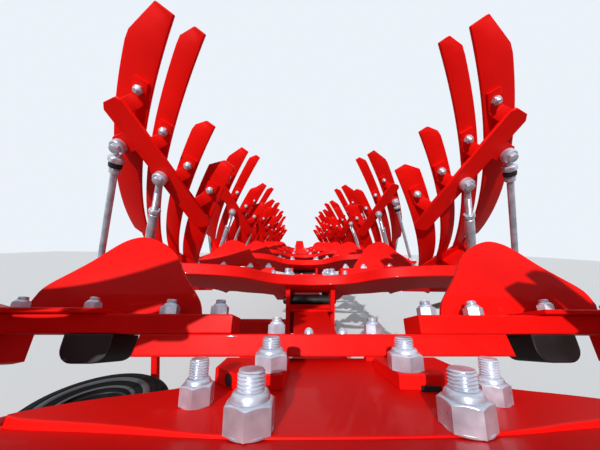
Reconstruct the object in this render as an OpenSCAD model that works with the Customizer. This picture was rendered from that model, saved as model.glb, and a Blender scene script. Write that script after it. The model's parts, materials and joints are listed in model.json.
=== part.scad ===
// Seven-furrow reversible moldboard plough, parked half turned, with slatted bodies.
// X is across, +Y the way it is pulled and +Z up. The origin is on the ground, below the middle of its whole extent.

/* [Bodies] */
// Number of body pairs along the beam
pairs = 7; // [3:1:7]
// Distance between body pairs, along the beam
spacing = 1000; // [980:5:1040]
// Angle between the beam and the way of travel
lean = 22; // [18:1:24]
// Distance from the beam's centre plane to the share's edge
share_x = 905; // [880:5:930]
// Thickness of the slats and of the shin
slat_t = 10; // [8:1:14]
// Width of the strap behind the slats
strap_w = 78; // [60:2:90]
// Thickness of the strap behind the slats
strap_t = 12; // [8:1:16]
// Radius of the outer stay rod
stay_r = 11; // [8:0.5:14]
// Radius of the inner stay's adjusting tube
stay_tube_r = 17; // [14:0.5:20]

/* [Legs] */
// Height of the leg plate's top above the beam's centre
leg_rise = 200; // [190:5:220]
// Thickness of the leg plate
leg_t = 45; // [35:1:50]
// Inner radius of the curved leg
leg_r = 170; // [155:5:180]
// Height of the clamp blocks on the hub
block_t = 22; // [20:1:26]
// Depth of the hole in a clamp block's outer wall
block_wall = 14; // [10:1:18]
// Thickness of the landside
landside_t = 16; // [12:1:20]
// Thickness of the share
share_t = 14; // [10:1:18]

/* [Skimmers] */
// Thickness of the crossbar that carries the skimmers
crossbar_t = 44; // [36:1:50]
// Width of the crossbar, along the way of travel
crossbar_w = 84; // [70:2:96]
// Half the length of the crossbar at its foot
crossbar_half = 396; // [380:2:420]
// Thickness of the skimmer arm
arm_t = 40; // [32:1:46]
// Length of the skimmer arm
arm_len = 535; // [500:5:560]
// Thickness of the skimmer's board
skim_t = 9; // [7:1:12]

/* [Beam and brackets] */
// Outer size of the square beam
beam_s = 150; // [140:5:160]
// Wall of the square beam
beam_wall = 10; // [8:1:14]
// Height of the beam's centre above the ground
beam_z = 1150; // [1130:5:1200]
// Thickness of a bracket's cheek
cheek_t = 20; // [16:1:24]
// Distance over both cheeks
cheek_span = 230; // [225:1:240]

/* [Headstock] */
// Radius of the turnover shaft
shaft_r = 60; // [50:1:70]
// Outer radius of the turnover bearing
housing_r = 100; // [90:1:115]
// Spread of the lower hitch points
hitch_spread = 965; // [955:1:975]
// Radius of the lower hitch pins
hitch_pin_r = 18.3; // [17.9:0.1:18.5]
// Radius of the top link's hole
top_hole_r = 16; // [15:0.1:17]
// Thickness of the headstock's plates
plate_t = 30; // [24:1:36]
// Radius of the rack's tube across the turnover shaft
rack_r = 58; // [50:1:64]

/* [Wheels] */
// Outer radius of the carriage tyres
tyre_r = 440; // [420:5:460]
// Width of the carriage tyres
tyre_w = 320; // [280:10:340]
// Distance between the carriage wheels' middles
track = 880; // [860:10:920]
// Outer radius of the depth wheel
depth_r = 270; // [256:2:276]
// Width of the depth wheel
depth_w = 170; // [150:5:180]

/* [Hidden] */
$fn = 64;
// Gap between pieces that seat on each other without being one, and the play of a pin in its hole
seat = 0.3;
play = 0.05;

paint = "red";
zinc = "silver";
rubber = "#151515";

// Stations along the beam, from the rearmost pair's pivot bolts
beam_rear = -950;
beam_front = (pairs - 1) * spacing + 700;
housing_y = beam_front + 200;
housing_len = 500;
hitch_y = housing_y + 850;
hitch_z = beam_z - 420;
hitch_eye_r = 70;
stand_y = hitch_y - 250;
stand_z = beam_z - 530;
swivel_y = beam_rear - 30;
swivel_len = 235;
arm_pivot = [beam_rear - 480, beam_z - 260];
axle = [beam_rear - 900, tyre_r];
// The origin lies midway between the tyres' rear and the hitch's front
y_shift = -(hitch_y + hitch_eye_r + axle[0] - tyre_r) / 2;
depth_at = [-845, 750, 825];

// Headstock: the hitch points, the stand's pin and the rack's tube that turns the plough over
hitch_plate_x = 150;
hitch_bar_r = 42;
top_gap = 100;
top_link = [housing_y + 560, beam_z + 330];
stand_half = 60;
stand_pin_r = 16;
case_r = 128;
rack_z = case_r + 40;
rack_half = 360;

// Lift cylinder, from the carriage frame's ear to the wheel arm's ear, in the plane across X
lift_top = [beam_rear - 340, beam_z + 100];
arm_run = [axle[0] - arm_pivot[0], axle[1] - arm_pivot[1]];
arm_l = norm(arm_run);
arm_u = arm_run / arm_l;
arm_n = [arm_u[1], -arm_u[0]];
lift_foot = arm_pivot + 300 * arm_u + 120 * arm_n;
lift_run = lift_foot - lift_top;
lift_l = norm(lift_run);
lift_rod_r = 20;
lift_barrel_r = 38;
lift_barrel_l = 400;
lift_pin_r = 15;
lift_slack = 5;

// The curved leg goes round this centre, in the leg's plane
leg_c = [600, 100];
hub_front = 300;
notch_x = beam_s / 2 + 10;
notch_y = 70;

// Places on the leg plate, across and along the way of travel
crossbar_y = 265;
spacer_t = 60;
arm_n0 = spacer_t + crossbar_t;
arm_x0 = 201;
skim_y = crossbar_y + crossbar_w + 6;

// The shin is a flat plate on three of its corners: the fourth follows from them
shin_a = [share_x - 45, 330, 20];
shin_b = [520, 170, -10];
shin_d = [share_x - 65, -40, 240];
shin_nrm = cross(shin_b - shin_a, shin_d - shin_a);
shin_c = [575, 30, shin_a[2] - (shin_nrm[0] * (575 - shin_a[0]) + shin_nrm[1] * (30 - shin_a[1])) / shin_nrm[2]];
shin_u = shin_nrm / norm(shin_nrm);
// It lies midway between the depth wheel on the left and the shares on the right too
x_shift = (depth_r - depth_at[0] - share_x + share_t * shin_u[0]) / 2;

// Each slat: place at the shin, middle, tip, width and where its tip's chamfer starts
slats = [
    [[share_x - 65, -30, 232], [700, -520, 262], [430, -846, 519], 100, 0.895],
    [[770, -12, 193], [600, -500, 240], [342, -806, 494], 60, 0.955],
    [[688, 8, 150], [560, -380, 180], [362, -600, 383], 62, 0.95],
    [[607, 28, 110], [500, -280, 140], [332, -470, 333], 86, 0.93]];
slat_steps = 12;
// The strap runs behind the slats from the first to the last, this far along each
strap_from = 0.67;
strap_to = 0.6;
strap_back = 28;
strap_over = [62, 45];
strap_clip = 16;
// Where each slat's tab is bolted: how far along the slat, and from its middle towards the outer edge
tab_at = [[0.775, -18], [0.68, -9], [0.77, -6], [0.8, -2]];
tab_half = 21;
tab_t = 7;

function along(p, s) = (1 - s) * (1 - s) * p[0] + 2 * s * (1 - s) * p[1] + s * s * p[2];
function heading(p, s) = unit((1 - s) * (p[1] - p[0]) + s * (p[2] - p[1]));
function unit(v) = v / norm(v);
// Across the slat, from its inner to its outer edge, square to its run
function across(p, s) =
    let (w = (1 - s) * [0.75, -0.45, 0.55] + s * [0.97, -0.1, 0.2], h = heading(p, s))
    unit(w - (w * h) * h);
function facing(p, s) = cross(heading(p, s), across(p, s));
// The share of its outer half width that a slat keeps past its chamfer's start
function kept(s, from) = s <= from ? 1 : 1 - 0.97 * (s - from) / (1 - from);
function path_of(k) = [slats[k][0], slats[k][1], slats[k][2]];

// The strap's own frame: its run, its width (inward and up) and the way that the slats face
strap_a = along(path_of(0), strap_from);
strap_b = along(path_of(3), strap_to);
strap_c = unit(strap_b - strap_a);
strap_f0 = facing(path_of(0), strap_from) + facing(path_of(3), strap_to);
strap_f = unit(strap_f0 - (strap_f0 * strap_c) * strap_c);
strap_d = cross(strap_f, strap_c);
function on_strap(c, w, f) = strap_a + c * strap_c + w * strap_d + f * strap_f;

module place() {
    translate([x_shift, y_shift, 0]) children();
}
// One body pair's own frame: X across, +Y the way of travel and +Z out of the leg plate's top
module at_pair(i) {
    place() translate([0, i * spacing, beam_z + leg_rise]) rotate([-lean, 0, 0]) children();
}
module each_pair() {
    for (i = [0 : pairs - 1]) at_pair(i) children();
}
module both_sides() {
    children();
    mirror([1, 0, 0]) children();
}
module each_body() {
    each_pair() both_sides() children();
}
// A solid with four corners below and four above, in the same order, whichever way round they run
module block8(low, high) {
    right_way = cross(low[1] - low[0], low[2] - low[0]) * (high[0] - low[0]) > 0;
    order = right_way ? [0, 1, 2, 3] : [3, 2, 1, 0];
    polyhedron([for (k = order) low[k], for (k = order) high[k]], [[0, 1, 2], [0, 2, 3], [4, 6, 5], [4, 7, 6],
        [0, 5, 1], [0, 4, 5], [1, 6, 2], [1, 5, 6], [2, 7, 3], [2, 6, 7], [3, 4, 0], [3, 7, 4]]);
}
module rod_between(a, b, r) {
    run = b - a;
    l = norm(run);
    translate(a) rotate([0, acos(run[2] / l), atan2(run[1], run[0])]) cylinder(h = l, r = r);
}
module along_x(r, x0, x1) {
    translate([x0, 0, 0]) rotate([0, 90, 0]) cylinder(h = x1 - x0, r = r);
}
module along_y(r, y0, y1) {
    translate([0, y0, 0]) rotate([-90, 0, 0]) cylinder(h = y1 - y0, r = r);
}
// A plate across X, from an outline given in Y and Z
module side_plate(x0, t, points) {
    translate([x0, 0, 0]) rotate([90, 0, 90]) linear_extrude(t) polygon(points);
}

module headstock_frame() {
    tower_z = 420;
    color(paint) place() difference() {
        union() {
            translate([0, 0, beam_z]) along_y(housing_r, housing_y, housing_y + housing_len);
            for (x = [-hitch_plate_x - plate_t, hitch_plate_x]) difference() {
                union() {
                    side_plate(x, plate_t, [
                        [housing_y, beam_z - 100], [housing_y, beam_z + 110],
                        [housing_y + housing_len, beam_z + 150], [hitch_y + hitch_eye_r, hitch_z + 60],
                        [hitch_y + hitch_eye_r, hitch_z], [hitch_y - hitch_eye_r, hitch_z - 30],
                        [stand_y - 60, stand_z - 40], [stand_y - 130, stand_z + 30]]);
                    translate([0, hitch_y, hitch_z]) along_x(hitch_eye_r, x, x + plate_t);
                }
            }
            for (y = [housing_y, housing_y + housing_len - plate_t])
                translate([-hitch_plate_x, y, beam_z - 100]) cube([2 * hitch_plate_x, plate_t, 210]);
            translate([0, housing_y + plate_t, beam_z]) rotate([90, 0, 0]) linear_extrude(plate_t)
                polygon([[-170, 60], [170, 60], [90, tower_z], [-90, tower_z]]);
            for (x = [-top_gap / 2 - plate_t, top_gap / 2]) side_plate(x, plate_t, [
                [housing_y + plate_t - 1, beam_z + 60], [housing_y + plate_t - 1, beam_z + tower_z],
                [top_link[0] - 40, top_link[1] + 60], [top_link[0] + 60, top_link[1] + 40],
                [top_link[0] + 60, top_link[1] - 60], [housing_y + housing_len, beam_z + 60]]);
            translate([0, stand_y, stand_z]) along_x(45, stand_half + 2, hitch_plate_x + 1);
            translate([0, stand_y, stand_z]) along_x(45, -hitch_plate_x - 1, -stand_half - 2);
        }
        translate([0, 0, beam_z]) along_y(shaft_r + play, housing_y - 1, housing_y + housing_len + 1);
        translate([0, hitch_y, hitch_z]) along_x(hitch_bar_r, -hitch_plate_x - 99, hitch_plate_x + 99);
        translate([0, top_link[0], top_link[1]]) along_x(top_hole_r, -200, 200);
        translate([0, stand_y, stand_z]) along_x(stand_pin_r, -hitch_plate_x - 99, hitch_plate_x + 99);
    }
}
module hitch_shaft() {
    shoulder = hitch_spread / 2 - 24;
    color(paint) place() translate([0, hitch_y, hitch_z]) {
        along_x(hitch_bar_r, -shoulder, shoulder);
        difference() {
            along_x(hitch_pin_r, -shoulder - 84, shoulder + 84);
            for (side = [-1, 1]) translate([side * (shoulder + 66), 0, -40]) cylinder(h = 80, r = 6);
        }
    }
}

// A case round the shaft, with the rack's tube across it
module turnover_drive() {
    front = housing_y - seat;
    back = beam_front + 45;
    mid = (front + back) / 2;
    color(paint) place() translate([0, 0, beam_z]) difference() {
        union() {
            along_y(case_r, back, front);
            translate([-case_r, back, 0]) cube([2 * case_r, front - back, rack_z + rack_r]);
            translate([0, mid, rack_z]) {
                along_x(rack_r, -rack_half, rack_half);
                both_sides() along_x(rack_r + 10, rack_half - 70, rack_half);
            }
        }
        along_y(shaft_r + play, back - 1, front + 1);
    }
}

module parking_stand() {
    foot_t = 20;
    color(zinc) place() difference() {
        union() {
            translate([-40, stand_y - 40, foot_t - 1]) cube([80, 80, stand_z - foot_t]);
            translate([0, stand_y, stand_z]) along_x(stand_half - 5, -stand_half, stand_half);
            translate([-160, stand_y - 130, 0]) cube([320, 260, foot_t]);
        }
        translate([0, stand_y, stand_z]) along_x(stand_pin_r, -99, 99);
    }
    color(zinc) place() translate([0, stand_y, stand_z])
        along_x(stand_pin_r, -hitch_plate_x - plate_t - 10, hitch_plate_x + plate_t + 10);
}

module main_beam() {
    inner = beam_s / 2 - beam_wall;
    end_t = 30;
    color(paint) place() translate([0, 0, beam_z]) {
        difference() {
            translate([-beam_s / 2, beam_rear, -beam_s / 2]) cube([beam_s, beam_front - beam_rear, beam_s]);
            translate([-inner, beam_rear + end_t, -inner])
                cube([2 * inner, beam_front - beam_rear - 2 * end_t, 2 * inner]);
        }
        translate([-beam_s * 0.7, beam_front, -beam_s * 0.7]) cube([beam_s * 1.4, end_t, beam_s * 1.4]);
        along_y(shaft_r, beam_front, housing_y + housing_len + 30);
        along_y(shaft_r + 25, housing_y + housing_len + 6, housing_y + housing_len + 30);
        along_y(swivel_r, swivel_y - swivel_len - 30, beam_rear + 1);
        along_y(swivel_r + 17, swivel_y - swivel_len - 30, swivel_y - swivel_len - 6);
    }
}
swivel_r = 55;

module brackets() {
    half = cheek_span / 2;
    top = leg_rise - leg_t / cos(lean) - seat;
    color(paint) each_bracket() {
        for (side = [-1, 1]) difference() {
            union() {
                side_plate(side < 0 ? -half : half - cheek_t, cheek_t, [
                    [-60, top + 60 * tan(lean)], [-60, -70], [20, -bracket_drop], [290, -bracket_drop],
                    [330, -60], [330, top - 330 * tan(lean)]]);
                translate([side < 0 ? -half + cheek_t - 1 : beam_s / 2, 30, -beam_s / 2 + 10])
                    cube([half - cheek_t - beam_s / 2 + 1, 220, beam_s - 45]);
            }
            for (y = pin_rows) translate([0, y, pin_low]) along_x(bracket_pin_r + play, -200, 200);
        }
        for (y = [40, 200]) translate([-half + cheek_t - 1, y, -bracket_drop])
            cube([2 * (half - cheek_t) + 2, 60, bracket_drop + pin_low - bracket_pin_r - 5]);
    }
}
bracket_drop = 130;
pin_rows = [0, 240];
pin_low = -92;
bracket_pin_r = 14;
module each_bracket() {
    for (i = [0 : pairs - 1]) place() translate([0, i * spacing, beam_z]) children();
}

module bracket_pins() {
    color(rubber) each_bracket() for (y = pin_rows) translate([0, y, pin_low]) {
        along_x(bracket_pin_r, -cheek_span / 2 - 6, cheek_span / 2 + 6);
        both_sides() along_x(bracket_pin_r + 10, cheek_span / 2 + seat, cheek_span / 2 + 22);
    }
}

// Half of the plate: its rear edge bows back and out, and the round cut leaves the curved leg
leg_rear = [[-1, -100], [190, -178], [255, -238], [350, -267], [510, -288], [640, -284], [760, -245]];
module leg_outline() {
    difference() {
        polygon(concat(leg_rear, [[share_x - 40, -150], [share_x - 40, leg_c[1] - 40], leg_c,
            [leg_c[0] - leg_r, leg_c[1]], [395, 46], [368, 50], [320, 80], [240, 108], [188, 146],
            [180, hub_front], [-1, hub_front]]));
        translate(leg_c) circle(r = leg_r);
        translate([-2, notch_y]) square([notch_x + 2, hub_front]);
    }
}
module leg_pairs() {
    color(paint) each_pair() {
        translate([0, 0, -leg_t]) linear_extrude(leg_t) {
            leg_outline();
            mirror([1, 0]) leg_outline();
        }
        difference() {
            translate([0, 0, -1]) linear_extrude(90) {
                polygon(hub_half);
                mirror([1, 0]) polygon(hub_half);
            }
            on_hub() translate([-500, -100, 0]) cube([1000, 600, 200]);
        }
    }
}
// The hub's top rises towards the front from its rear edge
hub_tilt = 10;
hub_rise = 2;
hub_half = [[-1, -13], [87, -12], [159, -5], [252, 15], [392, 32], [370, 55], [320, 84], [240, 113],
    [192, 150], [183, hub_front - 5], [-1, hub_front - 5]];
module on_hub() {
    translate([0, -13, hub_rise]) rotate([hub_tilt, 0, 0]) children();
}

// The block lies on the hub's top, and its outer wall has an oval hole
block_line = [[76, 221], [83, 121], [140, 113], [188, 156], [188, 221]];
module clamp_blocks() {
    hole_run = block_line[3] - block_line[2];
    hole_at = block_line[2] + 0.45 * hole_run;
    color(paint) each_body() on_hub() translate([0, 0, seat]) difference() {
        linear_extrude(block_t - seat) polygon(block_line);
        translate([hole_at[0], hole_at[1], block_t / 2]) rotate([90, 0, atan2(hole_run[1], hole_run[0])])
            cylinder(h = 2 * block_wall, r = block_hole_r, center = true);
    }
}
block_hole_r = 8;

module crossbars() {
    color(paint) each_pair() {
        translate([0, crossbar_y, spacer_t]) rotate([-90, 0, 0]) linear_extrude(crossbar_w)
            polygon([[-crossbar_half, 0], [crossbar_half, 0],
                [crossbar_half - 9, -crossbar_t], [-crossbar_half + 9, -crossbar_t]]);
        difference() {
            for (side = [-1, 1]) translate([side * 130 - 50, crossbar_y + 5, 30])
                cube([100, hub_front - crossbar_y - 15, spacer_t - 29]);
            on_hub() translate([-500, 0, seat - 200]) cube([1000, 600, 200]);
        }
    }
}

module skimmer_arms() {
    color(paint) each_body() translate([arm_x0, crossbar_y, arm_n0]) difference() {
        cube([arm_len, crossbar_w, arm_t]);
        for (x = arm_bolts) translate([x - arm_x0, crossbar_w / 2, -1]) cylinder(h = arm_t + 2, r = 13);
    }
}
arm_bolts = [241, 354];

module skimmer_flanges() {
    color(paint) each_body() {
        translate([470, crossbar_y - 20, arm_n0 + arm_t]) cube([240, crossbar_w + 40, 10]);
        translate([437, crossbar_y - 4, arm_n0 - 56]) cube([98, crossbar_w + 8, 56]);
    }
}

// The board stands on the arm: a bent sheet cut to a rounded three-cornered outline
module skimmer_boards() {
    base = arm_n0 + arm_t;
    bend = 420;
    color(paint) each_body() intersection() {
        translate([0, skim_y + 60, base]) rotate([90, 0, 0]) linear_extrude(160) polygon([
            [295, seat], [300, 35], [325, 70], [358, 112], [378, 152], [400, 175], [428, 196], [465, 214],
            [498, 222], [530, 212], [555, 190], [590, 145], [640, 105], [690, 70], [705, 35],
            [700, 10 + seat], [466, 10 + seat], [466, seat]]);
        translate([0, skim_y + bend - 10, base + 60]) difference() {
            along_x(bend + skim_t / 2, 250, 720);
            along_x(bend - skim_t / 2, 240, 730);
        }
    }
}

module skimmer_shares() {
    x0 = arm_x0 + arm_len;
    color(zinc) each_body() block8(
        [[x0 + seat, skim_y - 70, arm_n0 - 60], [x0 + seat, skim_y + 60, arm_n0 - 60],
            [x0 + 95, skim_y + 130, arm_n0 - 70], [x0 + 95, skim_y + 110, arm_n0 - 70]],
        [[x0 + seat, skim_y - 70, arm_n0 + 50], [x0 + seat, skim_y + 60, arm_n0 + 50],
            [x0 + 95, skim_y + 20, arm_n0 + 80], [x0 + 95, skim_y, arm_n0 + 80]]);
}

// A point of the shin's back face: u runs from its share side inward, v from its front edge back
function shin_at(u, v, deep) =
    (1 - v) * ((1 - u) * shin_a + u * shin_b) + v * ((1 - u) * shin_d + u * shin_c) + deep * shin_u;

module frogs() {
    back = -slat_t - seat;
    color(paint) each_body() block8(
        [[690, -60, seat], [690, 40, seat], [810, 20, seat], [810, -90, seat]],
        [shin_at(0.62, 0.75, back), shin_at(0.62, 0.45, back), shin_at(0.1, 0.5, back),
            shin_at(0.1, 0.9, back)]);
}

landside_l = 380;
landside_end = 130;
point_l = 340;
point_t = 24;
module landsides() {
    color(paint) each_body() translate([share_x - 125, landside_end - landside_l, -leg_t - landside_t - seat])
        cube([105, landside_l, landside_t]);
}

module shares() {
    e0 = [share_x, 400, -20];
    e1 = [share_x, 50, 335];
    t = share_t * shin_u;
    rise0 = shin_at(0, 0, 0) + [seat, 0, 0];
    rise1 = shin_at(0, 0.85, 0) + [seat, 0, 0];
    color(zinc) each_body() block8([e0 - t, rise0 - t, rise1 - t, e1 - t], [e0, rise0, rise1, e1]);
}

module share_points() {
    color(zinc) each_body() translate([share_x - 80, landside_end + seat, -leg_t - seat - point_t])
        cube([60, point_l, point_t]);
}

module slat(row) {
    p = [row[0], row[1], row[2]];
    half = row[3] / 2;
    marks = [for (i = [0 : slat_steps]) i < slat_steps ? i / (slat_steps - 1) * row[4] : 1];
    points = [for (s = marks) let (m = along(p, s), w = across(p, s) * half, n = facing(p, s) * slat_t / 2,
            o = w * kept(s, row[4]))
        each [m + o + n, m - w + n, m - w - n, m + o - n]];
    last = 4 * slat_steps;
    polyhedron(points, concat([[0, 1, 2], [0, 2, 3], [last + 2, last + 1, last], [last + 3, last + 2, last]],
        [for (i = [0 : slat_steps - 1]) for (k = [0 : 3])
            each [[4 * i + k, 4 * i + 4 + k, 4 * i + 4 + (k + 1) % 4],
                [4 * i + k, 4 * i + 4 + (k + 1) % 4, 4 * i + (k + 1) % 4]]]));
}
module moldboard() {
    thick = -slat_t * shin_u;
    block8([shin_a + thick, shin_d + thick, shin_c + thick, shin_b + thick], [shin_a, shin_d, shin_c, shin_b]);
    for (row = slats) slat(row);
}
module moldboards_left() {
    color(paint) each_pair() mirror([1, 0, 0]) moldboard();
}
module moldboards_right() {
    color(paint) each_pair() moldboard();
}

// A place on a slat's back: how far along, from its middle towards the outer edge, and out of the back
function slat_back(k, s, e, out) =
    let (p = path_of(k)) along(p, s) + across(p, s) * e - facing(p, s) * (slat_t / 2 + out);
// A tab leaves the strap's upper edge and bends on to the slat's back
module tab(k) {
    s = tab_at[k][0];
    e = tab_at[k][1];
    reach = 30 / norm(slats[k][2] - slats[k][0]);
    mid = slat_back(k, s - reach, e, seat) - strap_a;
    c = mid * strap_c;
    edge = strap_w / 2 - 6;
    front = -strap_back + strap_t / 2 - 1;
    gap = seat + 0.3;
    root = [on_strap(c - tab_half, edge, front - tab_t), on_strap(c + tab_half, edge, front - tab_t),
        on_strap(c + tab_half, edge, front), on_strap(c - tab_half, edge, front)];
    fold = [for (q = [[tab_half, tab_t], [-tab_half, tab_t], [-tab_half, 0], [tab_half, 0]])
        slat_back(k, s - reach, e + q[0], gap + q[1])];
    tip = [for (q = [[tab_half, tab_t], [-tab_half, tab_t], [-tab_half, 0], [tab_half, 0]])
        slat_back(k, s + reach, e + q[0], gap + q[1])];
    block8(root, fold);
    block8(fold, tip);
}
// Draws in the strap's frame: X along it, Y across it and Z the way that the slats face
module in_strap() {
    multmatrix([for (i = [0 : 2]) [strap_c[i], strap_d[i], strap_f[i], strap_a[i]]]) children();
}
module straps() {
    l = norm(strap_b - strap_a);
    x0 = -strap_over[0];
    x1 = l + strap_over[1];
    h = strap_w / 2;
    color(paint) each_body() {
        in_strap() translate([0, 0, -strap_back - strap_t / 2]) linear_extrude(strap_t) {
            polygon([[x0 + strap_clip, -h], [x1 - strap_clip, -h], [x1, -h + strap_clip], [x1, h - strap_clip],
                [x1 - strap_clip, h], [x0 + strap_clip, h], [x0, h - strap_clip], [x0, -h + strap_clip]]);
            translate([outer_eye[0] - 30, outer_eye[1] - 28]) square([60, -h - outer_eye[1] + 29]);
        }
        for (k = [0 : 3]) tab(k);
    }
}
outer_eye = [55, -75];
inner_eye = [190, -16];
stay_eye_r = 24;
stay_eye_t = 2 * stay_r + 2;
outer_foot = [858, -212, -leg_t + seat];
inner_foot = [690, -200, seat];
foot_s = 46;

// A stay's eye lies on the strap's back and its foot on the leg or landside
module stay(eye, foot, r, tube) {
    top = on_strap(eye[0], eye[1], -strap_back - strap_t / 2 - seat - stay_eye_t / 2);
    knee = foot + [0, 0, 22];
    in_strap() translate([eye[0], eye[1], -strap_back - strap_t / 2 - seat - stay_eye_t])
        cylinder(h = stay_eye_t, r = stay_eye_r);
    rod_between(top, knee, r);
    if (tube) rod_between(top + 0.38 * (knee - top), top + 0.9 * (knee - top), stay_tube_r);
    translate(foot - [foot_s / 2, foot_s / 2, 0]) cube([foot_s, foot_s, 30]);
}
module outer_stays() {
    color(zinc) each_body() stay(outer_eye, outer_foot, stay_r, false);
}
module inner_stays() {
    color(zinc) each_body() stay(inner_eye, inner_foot, stay_r, true);
}

depth_axle_r = 20;
depth_wall = 150;
depth_disc = 60;
depth_post = [-800, 1108];
depth_post_w = 30;
depth_foot_z = 655;
depth_bar_z = 1060;
module depth_arm() {
    run = depth_post - [depth_at[0], depth_at[1]];
    color(paint) place() {
        translate([depth_at[0], depth_at[1], depth_foot_z]) {
            cylinder(h = depth_at[2] + depth_disc / 2 + 12 - depth_foot_z, r = depth_axle_r);
            cylinder(h = depth_at[2] - depth_disc / 2 - 5 - depth_foot_z, r = 38);
            rotate([0, 0, atan2(run[1], run[0])]) translate([-45, -35, 0]) cube([norm(run) + 60, 70, 40]);
        }
        translate([depth_post[0] - depth_post_w / 2, depth_post[1] - depth_post_w / 2, depth_foot_z])
            cube([depth_post_w, depth_post_w, depth_bar_z + 60 - depth_foot_z]);
        translate([depth_post[0] - depth_post_w / 2, depth_post[1] - 30, depth_bar_z])
            cube([-cheek_span / 2 - seat - depth_post[0] + depth_post_w / 2, 60, 60]);
    }
}
module at_depth() {
    place() translate(depth_at) children();
}
module depth_tyre() {
    color(rubber) at_depth() rotate_extrude() ring_profile(depth_r, depth_w, depth_r - depth_wall);
}
module depth_rim() {
    r = depth_r - depth_wall - seat;
    color(paint) at_depth() difference() {
        union() {
            cylinder(h = depth_disc, r = 60, center = true);
            cylinder(h = 14, r = r - 5, center = true);
            difference() {
                cylinder(h = depth_w - 50, r = r, center = true);
                cylinder(h = depth_w, r = r - 10, center = true);
            }
        }
        cylinder(h = 99, r = depth_axle_r + play, center = true);
    }
}
// Half a tyre's section, with ribs round its tread
module ring_profile(r, w, inner) {
    groove = w / 16;
    difference() {
        polygon([[inner, -w / 2 + 25], [inner + 15, -w / 2 + 8], [inner + 60, -w / 2], [r - 40, -w / 2],
            [r - 8, -w / 2 + 22], [r, -w / 2 + 50], [r, w / 2 - 50], [r - 8, w / 2 - 22], [r - 40, w / 2],
            [inner + 60, w / 2], [inner + 15, w / 2 - 8], [inner, w / 2 - 25]]);
        for (k = [-1 : 1]) translate([r - 12, k * w / 5 - groove / 2]) square([20, groove]);
    }
}

cheek_x = 80;
cheek_w = 22;
arm_pin_r = 25;
module carriage_frame() {
    top = lift_top[1];
    color(paint) place() difference() {
        union() {
            translate([0, 0, beam_z]) along_y(95, swivel_y - swivel_len, swivel_y);
            for (x = [-cheek_x - cheek_w, cheek_x]) side_plate(x, cheek_w, [
                [swivel_y - 5, beam_z + 60], [lift_top[0] + 90, top + 45], [lift_top[0] - 45, top + 45],
                [lift_top[0] - 45, top - 50], [arm_pivot[0] - 30, beam_z - 150],
                [arm_pivot[0] - 60, arm_pivot[1] + 20], [arm_pivot[0] - 55, arm_pivot[1] - 45],
                [arm_pivot[0] + 50, arm_pivot[1] - 60], [swivel_y - 5, beam_z - 60]]);
            translate([0, lift_top[0], top]) along_x(lift_pin_r, -cheek_x - cheek_w - 12, cheek_x + cheek_w + 12);
            translate([0, arm_pivot[0], arm_pivot[1]])
                along_x(arm_pin_r, -cheek_x - cheek_w - 16, cheek_x + cheek_w + 16);
            translate([-cheek_x - 1, swivel_y - swivel_len - 60, beam_z - 160]) cube([2 * cheek_x + 2, 150, 40]);
        }
        translate([0, 0, beam_z]) along_y(swivel_r + play, swivel_y - swivel_len - 1, swivel_y + 1);
    }
}
// Draws along the lift cylinder: X across, Y from its upper pin to its lower one
module on_lift() {
    place() translate([0, lift_top[0], lift_top[1]]) rotate([atan2(lift_run[1], lift_run[0]), 0, 0]) children();
}
module lift_barrel() {
    color(paint) on_lift() difference() {
        union() {
            along_x(34, -20, 20);
            along_y(lift_barrel_r, 20, 20 + lift_barrel_l);
        }
        along_x(lift_pin_r + play, -30, 30);
        along_y(lift_rod_r + play, 80, 21 + lift_barrel_l);
    }
}
module lift_rod() {
    color(zinc) on_lift() difference() {
        union() {
            along_y(lift_rod_r, 150, lift_l - 10);
            translate([0, lift_l, 0]) along_x(34, -18, 18);
        }
        translate([0, lift_l, 0]) along_x(lift_pin_r + lift_slack, -30, 30);
    }
}
module wheel_arm() {
    stub_r = 30;
    axle_x = track / 2 - tyre_w / 2 - 30;
    color(paint) place() {
        translate([0, arm_pivot[0], arm_pivot[1]]) rotate([atan2(arm_run[1], arm_run[0]), 0, 0]) {
            difference() {
                union() {
                    along_x(48, 5 - cheek_x, cheek_x - 5);
                    translate([-50, 0, -45]) cube([100, arm_l, 90]);
                    for (x = [-48, 26]) side_plate(x, 22, [[200, -30], [400, -30], [340, -150], [265, -150]]);
                }
                along_x(arm_pin_r + play, -99, 99);
            }
            translate([0, 300, -120]) along_x(lift_pin_r, -48, 48);
        }
        translate([0, axle[0], axle[1]]) {
            along_x(50, -axle_x, axle_x);
            along_x(stub_r, -track / 2 - 90, track / 2 + 90);
        }
    }
}
module carriage_tyre(side) {
    color(rubber) place() translate([side * track / 2, axle[0], axle[1]]) rotate([0, 90, 0])
        rotate_extrude() ring_profile(tyre_r, tyre_w, rim_r);
}
rim_r = 240;
module carriage_rim(side) {
    r = rim_r - seat;
    color(paint) place() translate([side * track / 2, axle[0], axle[1]]) difference() {
        union() {
            along_x(75, -80, 70);
            along_x(r - 5, -10, 10);
            difference() {
                along_x(r, -tyre_w / 2 + 30, tyre_w / 2 - 30);
                along_x(r - 12, -tyre_w, tyre_w);
            }
        }
        along_x(30 + play, -99, 99);
    }
}
module left_tyre() {
    carriage_tyre(-1);
}
module right_tyre() {
    carriage_tyre(1);
}
module left_rim() {
    carriage_rim(-1);
}
module right_rim() {
    carriage_rim(1);
}

headstock_frame();
hitch_shaft();
turnover_drive();
parking_stand();
main_beam();
brackets();
bracket_pins();
leg_pairs();
clamp_blocks();
crossbars();
skimmer_arms();
skimmer_flanges();
skimmer_boards();
skimmer_shares();
frogs();
landsides();
shares();
share_points();
moldboards_left();
moldboards_right();
straps();
outer_stays();
inner_stays();
depth_arm();
depth_tyre();
depth_rim();
carriage_frame();
lift_barrel();
lift_rod();
wheel_arm();
left_tyre();
left_rim();
right_tyre();
right_rim();
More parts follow.
